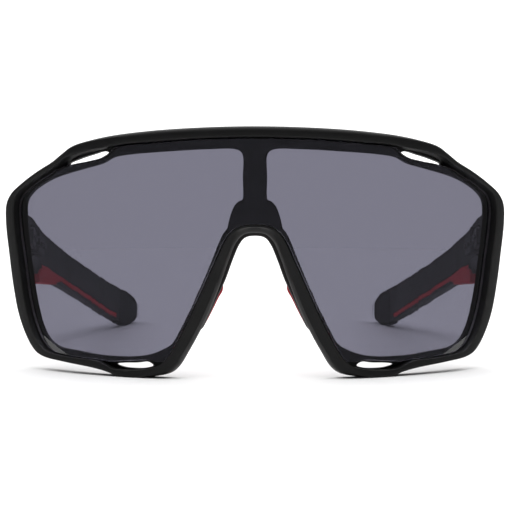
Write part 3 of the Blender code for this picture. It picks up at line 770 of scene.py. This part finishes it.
@dataclass
class Hinge:
    """One hinge: two stamped leaves, the axle screw, its washer and four leaf screws."""

    barrel: float = 1.5
    bore: float = 0.7
    axle: float = 0.6
    knuckles: Sequence[Point] = ((-3.4, -1.4), (-1.1, 1.1), (1.4, 3.4))
    plate_depths: Point = (-0.4, 0.6)
    plate_start: float = 1.0
    plate_reach: float = 8.4
    plate_half_height: float = 2.6
    plate_corner: float = 0.8
    inner_corner: float = 0.05
    screw_places: Point = (4.0, 6.8)
    screw_radius: float = 0.45
    screw_length: float = 3.4
    screw_clearance: float = 0.15
    screw_head: float = 0.9
    axle_head: float = 1.25
    head_height: float = 0.6
    head_edge: float = 0.14
    slot: Point = (0.35, 0.3)
    slot_reach: float = 3.0
    slot_turn: float = 0.7
    head_sink: float = 0.2
    washer: Sequence[Point] = ((0.7, 3.55), (1.3, 3.55), (1.3, 3.8), (0.7, 3.8))
    washer_edge: float = 0.05
    axle_lift: float = 3.95
    edge: float = 0.08
    room_heights: Point = (-4.0, 5.0)
    through: float = 5.0

    @property
    def clearance(self) -> float:
        """How far from the pin's axis a neighbour stays."""
        return self.barrel + GAP

    def leaf(self, own: Sequence[int], way: int) -> Blank:
        """A leaf with the knuckles that it owns, its plate running forwards or backwards."""
        near, far = self.plate_depths
        half, reach, corner = self.plate_half_height, self.plate_reach, self.plate_corner
        start, tight = self.plate_start, self.inner_corner
        outline = rounded([(way * x, y, soft, soft) for x, y, soft in (
            (start, -half, tight), (reach, -half, corner), (reach, half, corner),
            (start, half, tight))], 4)
        plate = prism(outline, near, far).turned(Matrix.Rotation(pi / 2, 4, "Z"))
        free = [span for k, span in enumerate(self.knuckles) if k not in own]
        room = self.clearance
        plate.with_tools(Join.DIFFERENCE, *[
            box((-room, -room, low - GAP), (room, room, high + GAP)) for low, high in free])
        plate.with_tools(Join.UNION, *[rod(self.barrel, *self.knuckles[k]) for k in own])
        through = self.through
        return plate.with_tools(Join.DIFFERENCE, rod(self.bore, -through, through),
                                *self.drills((0, way, 0), "Y", -through, through))

    def drills(self, way: Sequence[float], axis: str, low: float, high: float,
               place: Matrix | None = None) -> list[Blank]:
        """The drills of a leaf's screw holes.

        Args:
            way: the direction in which the screws follow each other.
            axis: the axis about which a drill turns from Z to its own direction.
            low: the level at which the holes start.
            high: the level at which they end.
            place: carries the drills to where they cut.

        Returns:
            A drill for each screw.
        """
        radius = self.screw_radius + self.screw_clearance
        turn = Matrix.Rotation(pi / 2, 4, axis)
        return [rod(radius, low, high, 20).turned(
            (place or Matrix()) @ (Matrix.Translation(Vector(way) * along) @ turn))
            for along in self.screw_places]

    def screw(self, radius: float, length: float, head: float) -> Blank:
        """A screw along -Z with a domed and slotted head on the XY plane."""
        bevel, top = self.head_edge, self.head_height
        profile = [(0, -length), (radius * 0.6, -length), (radius, -length + radius * 0.5),
                   (radius, 0), (head - bevel / 2, 0), (head, bevel / 2), (head, top - 2 * bevel),
                   (head - bevel, top - bevel / 2), (head * 0.6, top), (0, top)]
        width, depth = self.slot
        slot = box((-self.slot_reach, -width / 2, top - depth),
                   (self.slot_reach, width / 2, top + SPARE))
        return turning(profile, 28).with_tools(Join.DIFFERENCE, slot)

    def build(self, side: Side) -> None:
        """Makes one side's hinge pieces."""
        hinge, temple = side.mirror @ PLACES.hinge, side.mirror @ PLACES.temple
        for word, own, way, place, body in (
                ("front", (0, 2), -1, hinge, "root"),
                ("temple", (1,), 1, temple, f"{side.value}_temple")):
            leaf = piece(self.leaf(own, way).turned(place), f"{word}_leaf_{side.value}",
                         [STEEL], edge=self.edge)
            settle(leaf, body, "hinge_steel", f"hinge_{word}_leaf_{side.value}")
            for number, along in enumerate(self.screw_places, 1):
                head = Matrix.Translation((self.plate_depths[0] - self.head_sink, way * along, 0))
                twist = Matrix.Rotation(number * self.slot_turn, 4, "Z")
                turn = head @ Matrix.Rotation(-pi / 2, 4, "Y") @ twist
                screw = self.screw(self.screw_radius, self.screw_length, self.screw_head)
                name = f"{word}_leaf_screw_{number}_{side.value}"
                item = piece(screw.turned(place @ turn), f"slotted_{name}", [STEEL])
                settle(item, body, "hinge_steel", name)
        washer = turning(self.washer).turned(hinge)
        settle(piece(washer, f"axle_washer_{side.value}", [STEEL], edge=self.washer_edge),
               "root", "hinge_steel", f"hinge_washer_{side.value}")
        length = self.axle_lift - self.knuckles[0][0]
        axle = self.screw(self.axle, length, self.axle_head)
        lift = Matrix.Translation((0, 0, self.axle_lift))
        settle(piece(axle.turned(hinge @ lift), f"axle_screw_{side.value}", [STEEL]), "root",
               "hinge_steel", f"hinge_screw_{side.value}")


HINGE = Hinge()


@dataclass
class Temple:
    """An arm with its red insert and its rubber tip."""

    top: Outline = ((0.15, 7.4), (6, 6), (12, 5.1), (20, 4.6), (30, 4.1), (45, 3.9), (62, 4.1),
                    (80, 4.5), (97, 4.9))
    bottom: Outline = ((0.15, -7.9), (30, -7.5), (60, -7.1), (80, -6.9), (97, -6.5))
    tip_top: Outline = ((97.05, 4.9), (103, 5), (107, 4.7), (110.5, 3.7), (113, 2.2),
                        (114.2, 0.3))
    tip_bottom: Outline = ((97.05, -7), (100.5, -6.9), (104, -6.5), (107.5, -5.4),
                           (111, -3.6), (113.6, -1.5), (114.2, 0.3))
    length: float = 114.2
    front_stops: Sequence[float] = (0.15, 0.22, 0.4)
    middle_stops: Point = (2.0, 95.0)
    back_stops: Sequence[float] = (96.6, 96.9, 97.0)
    end_inset: Sequence[float] = (0.25, 0.07, 0.0)
    station: float = 1.6
    facet: Point = (1.7, 3.9)
    facet_span: Point = (8.0, 11.0)
    thin_from: float = 2.0
    thin_to: float = 45.0
    thin_share: float = 0.76
    curl_start: float = 82.0
    curl_in: float = 2.4
    strip_span: Point = (10.0, 93.0)
    strip_heights: Point = (-6.2, -4.9)
    strip_rise: float = 0.005
    strip_edge: float = 0.15
    insert_depth: float = 0.8
    insert_gap: float = 0.25
    badge: Outline = ((7.4, -9), (8.6, -6.9), (12.5, -4.9), (15.4, -4.5), (22, -4.9),
                      (29, -5.2), (29, -6.2), (23, -8.2), (10.5, -10))
    foot: Outline = ((7.4, -8.2), (7.9, -10.7), (10.5, -10.5), (25, -8.05), (25, -7.9))
    badge_lift: float = 0.15
    foot_lift: float = 0.1
    foot_depth: float = 3.2
    block_edge: float = 0.3
    tip_stops: int = 26
    tip_round: float = 2.0
    tip_pull: float = 2.15
    tip_height: float = 0.05
    tip_least: float = 0.04
    lip: float = 0.3
    lip_step: float = 0.08

    def heights(self, lower: Outline, upper: Outline, along: float) -> Point:
        """The lowest and the highest height of an outline at a distance along the arm."""
        low, high = (np.interp(along, *smooth(line, 8, closed=False).T)
                     for line in (lower, upper))
        return float(low), float(high)

    def bend(self, spot: Vector) -> Vector:
        """Thins, curls and hangs a straight spot (along, -depth, height) of the right arm."""
        along, depth = spot.x, -spot.y
        thin = ease((along - self.thin_from) / (self.thin_to - self.thin_from))
        share = 1 - (1 - self.thin_share) * thin
        curl = max(along - self.curl_start, 0) / (self.length - self.curl_start)
        inner = SECTION.inner_face - self.curl_in * curl * curl
        return Vector((inner + depth * share, along, spot.z))

    def facet_at(self, along: float) -> Point:
        """How far the flat cuts the lower inner edge, which fades out behind the hinge."""
        start, stop = self.facet_span
        share = 1 - ease((along - start) / (stop - start))
        return tuple(LEAST_FLAT + (full - LEAST_FLAT) * share for full in self.facet)

    def body(self) -> Blank:
        """The straight arm before it is cut."""
        inset = self.end_inset
        stops = [*self.front_stops, *np.arange(*self.middle_stops, self.station),
                 *self.back_stops]
        shrink = [*inset, *[0.0] * (len(stops) - 2 * len(inset)), *reversed(inset)]
        rings = []
        for along, less in zip(stops, shrink):
            low, high = self.heights(self.bottom, self.top, along)
            rings.append(SECTION.ring(low + less, high - less, less,
                                      SECTION.thickness - less, self.facet_at(along)))
        return lofted(stops, rings)

    def strip(self, grow: float = 0.0) -> Outline:
        """The strip's outline, which rises slightly towards the tip."""
        start, stop = self.strip_span[0] - grow, self.strip_span[1] + grow
        low, high = self.strip_heights[0] - grow, self.strip_heights[1] + grow
        rise = self.strip_rise * (stop - start)
        return [(start, low), (stop, low + rise), (stop, high + rise), (start, high)]

    def arm(self) -> Blank:
        """The straight arm with its groove, the insert's pocket and the hinge's room."""
        reach = HINGE.clearance
        depth = self.insert_depth + GAP
        pocket = [tuple(point) for point in offset(np.array(self.badge), self.insert_gap)]
        low, high = HINGE.room_heights
        notch = prism([(-SPARE, low), (reach, low), (reach, high), (-SPARE, high)], -SPARE,
                      reach - SECTION.inner_face)
        return self.body().with_tools(
            Join.DIFFERENCE, prism(self.strip(self.insert_gap), -SPARE, depth),
            prism(pocket, -SPARE, depth), notch,
            *HINGE.drills((1, 0, 0), "X", -SPARE, HINGE.screw_length))

    def insert(self) -> Blank:
        """The red insert: its strip, its badge and the foot under the arm."""
        strip = prism(self.strip(), 0, self.insert_depth).bevelled(self.strip_edge, 2)
        badge, foot = (prism(outline, -lift, depth).bevelled(self.block_edge, 3)
                       for outline, lift, depth in (
                           (self.badge, self.badge_lift, self.insert_depth),
                           (self.foot, self.foot_lift, self.foot_depth)))
        return strip.with_tools(Join.UNION, badge, foot).sliced(0, self.station)

    def tip(self) -> Blank:
        """The rubber sleeve at the arm's end, rounded all round."""
        start = self.tip_top[0][0]
        reach = self.length - start
        turns = np.linspace(0, pi / 2, self.tip_stops)[1:]
        stops = [start, start + self.lip_step, start + self.lip,
                 *(start + self.lip + sin(turn) * (reach - self.lip) for turn in turns)]
        shrink = [self.lip, self.lip * 0.3, 0.0] + [0.0] * len(turns)
        rings = []
        for along, less in zip(stops, shrink):
            low, high = self.heights(self.tip_bottom, self.tip_top, along)
            past = max(0.0, (along - (self.length - self.tip_round)) / self.tip_round)
            pull = self.tip_round * (1 - sqrt(max(0.0, 1 - past * past))) + less
            pull = min(pull, self.tip_pull)
            high, low = max(high - less, low + self.tip_height), low + less
            rings.append(SECTION.ring(min(low, high - self.tip_least), high, pull,
                                      SECTION.thickness - pull))
        return lofted(stops, rings)

    def build(self, side: Side) -> None:
        """Makes one side's arm, insert and tip."""
        place = side.mirror @ PLACES.temple
        body = f"{side.value}_temple"
        for blank, name, finish, slot, node in (
                (self.arm(), "arm", NYLON, "frame_nylon", "temple_arm"),
                (self.insert(), "arm_insert", RED_RUBBER, "red_rubber", "temple_insert"),
                (self.tip(), "arm_tip", BLACK_RUBBER, "black_rubber", "temple_grip")):
            shaped = blank.moved(self.bend).turned(place)
            settle(piece(shaped, f"{name}_{side.value}", [finish]), body, slot,
                   f"{node}_{side.value}")


TEMPLE = Temple()


@dataclass
class EndPiece:
    """The block behind the rim's side that carries a hinge and meets the arm flush."""

    front_heights: Point = (29.5, 49.0)
    front_depths: Point = (-3.5, 1.1)
    side_from: float = 60.0
    side_heights: Point = (15.0, 54.0)
    bury: float = 1.1
    levels: int = 12
    facet: Point = (1.7, 4.3)

    def build(self) -> Blank:
        """The right block, from inside the rim back to the arm's front face."""
        front = FrontFrame()
        curve = smooth(whole(front.edge), front.steps)
        low, high = self.side_heights
        side = curve[(curve[:, 0] > self.side_from) & (curve[:, 1] > low) & (curve[:, 1] < high)]
        order = side[np.argsort(side[:, 1])]
        low, high = self.front_heights
        near, far = self.front_depths
        start = SECTION.ring(low, high, 0, SECTION.thickness, self.facet)
        heights = TEMPLE.heights(TEMPLE.bottom, TEMPLE.top, TEMPLE.front_stops[0])
        stop = SECTION.ring(*heights, facet=TEMPLE.facet)

        def place(station: int, level: int) -> Vector:
            share = level / (self.levels - 1)
            depth, height = start[station]
            edge = float(np.interp(height, order[:, 1], order[:, 0]))
            reach = near + (far - near) * depth / SECTION.thickness
            begin = PLACES.on_face(Vector((edge - self.bury, -reach, height)))
            deep, up = stop[station]
            end = PLACES.temple @ Vector((deep + SECTION.inner_face, -GAP / 2, up))
            return begin.lerp(end, share)

        room, through = HINGE.clearance, HINGE.through
        low, high = HINGE.room_heights
        notch = box((-through, -room, low), (room, through, high)).turned(PLACES.hinge)
        drills = HINGE.drills((0, -1, 0), "Y", 0, HINGE.screw_length + GAP, PLACES.hinge)
        return capped(len(start), self.levels, place).with_tools(Join.DIFFERENCE, notch, *drills)


@dataclass
class Front:
    """The front assembly: frame, lens, saddle and pads."""

    lens_edge: Outline = (
        (0, 67.6), (16, 67.3), (30, 66.5), (38, 66), (41.6, 65.4), (44, 63.6), (47.4, 62.3),
        (55, 61.3), (62, 60), (66, 58.3), (74, 55), (78.2, 52.4), (79.5, 49.5), (78.9, 43),
        (76.7, 33.7), (74, 22.4), (70.7, 14.5), (67.3, 9.9), (63.8, 7.6), (56, 6.3), (47, 5.5),
        (42.9, 5), (37, 5.2), (31.4, 5.4), (27.8, 4.9), (25.9, 5.2), (24.4, 7.1), (21.7, 11.6),
        (18.7, 17.4), (16.3, 22.6), (13.3, 29.2), (11.2, 33.8), (8.5, 39.4), (6.2, 42),
        (3.3, 43.3), (0, 43.5))
    lens_thickness: float = 2.0
    lens_bevel: float = 0.12
    lens_slice: float = 1.2
    steps: int = 6
    saddle: Sequence[tuple[float, float, float, float]] = (
        (0, 40.4, 0, 43.1), (2.9, 39.9, 4.3, 42.2), (4.8, 37.8, 7.3, 38.6),
        (6.8, 33.4, 9, 33.9), (8.8, 28.3, 10.7, 29.2), (11.7, 22.4, 13.5, 23.2),
        (14.4, 17, 16.2, 17.9), (16.3, 13.4, 18, 14.2))
    saddle_front: float = -4.1
    saddle_back: float = -6.6
    saddle_round: float = 0.9
    saddle_edge: float = 0.25
    saddle_ends: Sequence[float] = (0.55, 0.22, 0.06, 0.0)
    pad_root: Outline = (
        (11.4, 28.8), (14, 23.6), (16.7, 18.3), (18.5, 14.9), (19.4, 13.3), (21, 13.2),
        (21.3, 15.2), (18.8, 20.2), (16, 26), (13, 29.5))
    cushion: Outline = (
        (10.1, 27.2), (9.9, 25.3), (11.35, 22.8), (13.8, 18.3), (16.4, 14.3), (18.3, 12.8),
        (20.6, 12.8), (21, 15), (18.5, 20), (15.6, 25.7), (12.7, 28.9))
    # Levels of a cushion: its size as a share of the outline, its depth and a lean outwards.
    pad_levels: Sequence[tuple[float, float, float]] = (
        (0.9, -6.9, 0), (0.97, -6.95, 0), (1.0, -7.15, 0), (1.0, -7.5, 0.02),
        (0.985, -7.9, 0.06), (0.95, -8.4, 0.12), (0.88, -8.9, 0.2), (0.77, -9.35, 0.28),
        (0.62, -9.7, 0.34), (0.42, -9.9, 0.38), (0.2, -9.98, 0.4))
    root_overlap: float = 1.5
    root_edge: float = 0.2

    def frame(self) -> None:
        """Makes the moulded front with both end pieces as one body."""
        blank = FrontFrame().front()
        block = EndPiece().build()
        twin = block.copy().turned(Side.LEFT.mirror)
        blank.with_tools(Join.UNION, block, twin)
        settle(piece(blank, "moulded_front", [NYLON]), "root", "frame_nylon", "front_frame")

    def lens(self) -> None:
        """Makes the one-piece shield with polished faces and a ground edge."""
        outline = [tuple(point) for point in smooth(whole(self.lens_edge), self.steps)]
        blank = prism(outline, 0, -self.lens_thickness).bevelled(self.lens_bevel, 3, 60)
        for face in blank.bm.faces:
            face.material_index = 1 if abs(face.normal.y) < 0.1 else 0
        blank.sliced(0, self.lens_slice).moved(PLACES.on_face)
        settle(piece(blank, "smoke_shield", [SMOKE, GROUND]), "root", "smoke_lens",
               "shield_lens")

    def nose_saddle(self) -> None:
        """Makes the soft arch behind the nose lip."""
        other = [(-a, b, -c, d) for a, b, c, d in reversed(self.saddle[1:])]
        spine = smooth([*other, *self.saddle], self.steps, closed=False)
        near, far = self.saddle_front, self.saddle_back
        edge, soft, ends = self.saddle_edge, self.saddle_round, self.saddle_ends
        shrink = [*ends, *[0.0] * (len(spine) - 2 * len(ends)), *reversed(ends)]

        def place(station: int, level: int) -> Vector:
            inner, outer = Vector(spine[level][:2]), Vector(spine[level][2:])
            width = (outer - inner).length
            less = shrink[level]
            left, right = less, width - less
            ring = rounded([(left, near - less, edge, edge), (right, near - less, edge, edge),
                            (right, far + less, soft, soft), (left, far + less, soft, soft)],
                           self.steps)
            across, depth = ring[station]
            spot = inner + (outer - inner).normalized() * across
            return Vector((spot.x, -depth, spot.y))

        blank = capped(4 * (self.steps + 1), len(spine), place).moved(PLACES.on_face)
        settle(piece(blank, "saddle_rubber", [GREY_RUBBER]), "root", "grey_rubber",
               "nose_saddle")

    def nose_pad(self, side: Side) -> None:
        """Makes one soft pad: a root on the frame and a domed cushion over the saddle."""
        outline = smooth(self.cushion, self.steps)
        middle = outline.mean(0)

        def place(station: int, level: int) -> Vector:
            share, depth, lean = self.pad_levels[level]
            across, height = middle + (outline[station] - middle) * share
            return Vector((side.hand * (across + lean), -depth, height))

        foot = [(side.hand * across, height)
                for across, height in smooth(self.pad_root, self.steps)]
        root = prism(foot, self.saddle_front, self.saddle_back - self.root_overlap)
        blank = capped(len(outline), len(self.pad_levels), place)
        blank.with_tools(Join.UNION, root.bevelled(self.root_edge, 2)).moved(PLACES.on_face)
        settle(piece(blank, f"soft_pad_{side.value}", [RED_RUBBER]), "root", "red_rubber",
               f"nose_pad_{side.value}")

    def build(self) -> None:
        """Makes the front assembly's pieces in order."""
        self.frame()
        self.lens()
        self.nose_saddle()
        for side in Side:
            self.nose_pad(side)


# --- studio --------------------------------------------------------------------------------

@dataclass
class Studio:
    """A pale floor, a white backdrop, one wide light and the camera. Sizes are in metres."""

    camera_back: float = 0.69
    camera_height: float = 0.0884
    camera_pitch: float = radians(4.42)
    focal_length: float = 175.5
    floor_radius: float = 0.42
    floor_colour: str = "#e6e6e6"
    sun: float = 5.6
    sun_angle: float = radians(100)
    sun_tilt: float = radians(-14)
    sun_aim: Sequence[float] = (0, -0.06, 0.035)
    backdrop: float = 1.4
    surround: float = 0.09

    def floor(self) -> None:
        """Lays the plain pale floor."""
        blank = Blank()
        bmesh.ops.create_circle(blank.bm, cap_ends=True, segments=96, radius=self.floor_radius)
        item = blank.shell("floor")
        blank.bm.free()
        paper = bpy.data.materials.new("white_paper")
        paper.use_nodes = True
        shader = paper.node_tree.nodes["Principled BSDF"]
        shader.inputs["Base Color"].default_value = linear(self.floor_colour)
        shader.inputs["Roughness"].default_value = 0.9
        shader.inputs["Specular IOR Level"].default_value = 0.1
        item.data.materials.append(paper)

    def world(self) -> None:
        """A white backdrop for the eye and through the lens, and a dim room for the rest."""
        world = bpy.data.worlds.new("studio")
        bpy.context.scene.world = world
        world.use_nodes = True
        tree = world.node_tree
        tree.nodes.clear()
        rays = add_node(tree, "ShaderNodeLightPath")
        seen = add_node(tree, "ShaderNodeMath", {
            0: rays.outputs["Is Camera Ray"], 1: rays.outputs["Is Transmission Ray"]},
            operation="MAXIMUM")
        room = add_node(tree, "ShaderNodeBackground", {
            "Color": (1, 1, 1, 1), "Strength": self.surround})
        white = add_node(tree, "ShaderNodeBackground", {
            "Color": (1, 1, 1, 1), "Strength": self.backdrop})
        both = add_node(tree, "ShaderNodeMixShader", {
            0: seen.outputs[0], 1: room.outputs[0], 2: white.outputs[0]})
        add_node(tree, "ShaderNodeOutputWorld", {"Surface": both.outputs[0]})

    def light(self) -> None:
        """Hangs a wide overhead light, a little behind what it lights."""
        data = bpy.data.lights.new("overhead", "SUN")
        data.energy = self.sun
        data.angle = self.sun_angle
        item = bpy.data.objects.new("overhead", data)
        bpy.context.scene.collection.objects.link(item)
        aim = Vector(self.sun_aim)
        place = aim + Vector((0, -sin(self.sun_tilt), cos(self.sun_tilt)))
        item.location = place
        item.rotation_mode = "QUATERNION"
        item.rotation_quaternion = (aim - place).to_track_quat("-Z", "Y")

    def camera(self) -> None:
        """Sets the camera at eye level in front of the face."""
        data = bpy.data.cameras.new("camera")
        data.sensor_width = 36.0
        data.lens = self.focal_length
        item = bpy.data.objects.new("camera", data)
        bpy.context.scene.collection.objects.link(item)
        apex = PLACES.face.translation.y * MM
        item.location = (0, apex - self.camera_back, self.camera_height)
        item.rotation_euler = (pi / 2 - self.camera_pitch, 0, 0)
        bpy.context.scene.camera = item

    def build(self) -> None:
        """Sets up the studio."""
        self.floor()
        self.world()
        self.light()
        self.camera()
        bpy.context.scene.view_settings.view_transform = "Standard"


def main() -> None:
    """Builds the sunglasses and the studio."""
    logging.basicConfig(level=logging.INFO, format="%(name)s: %(message)s")
    Studio().build()
    Front().build()
    for side in Side:
        HINGE.build(side)
        TEMPLE.build(side)


if __name__ == "__main__":
    main()
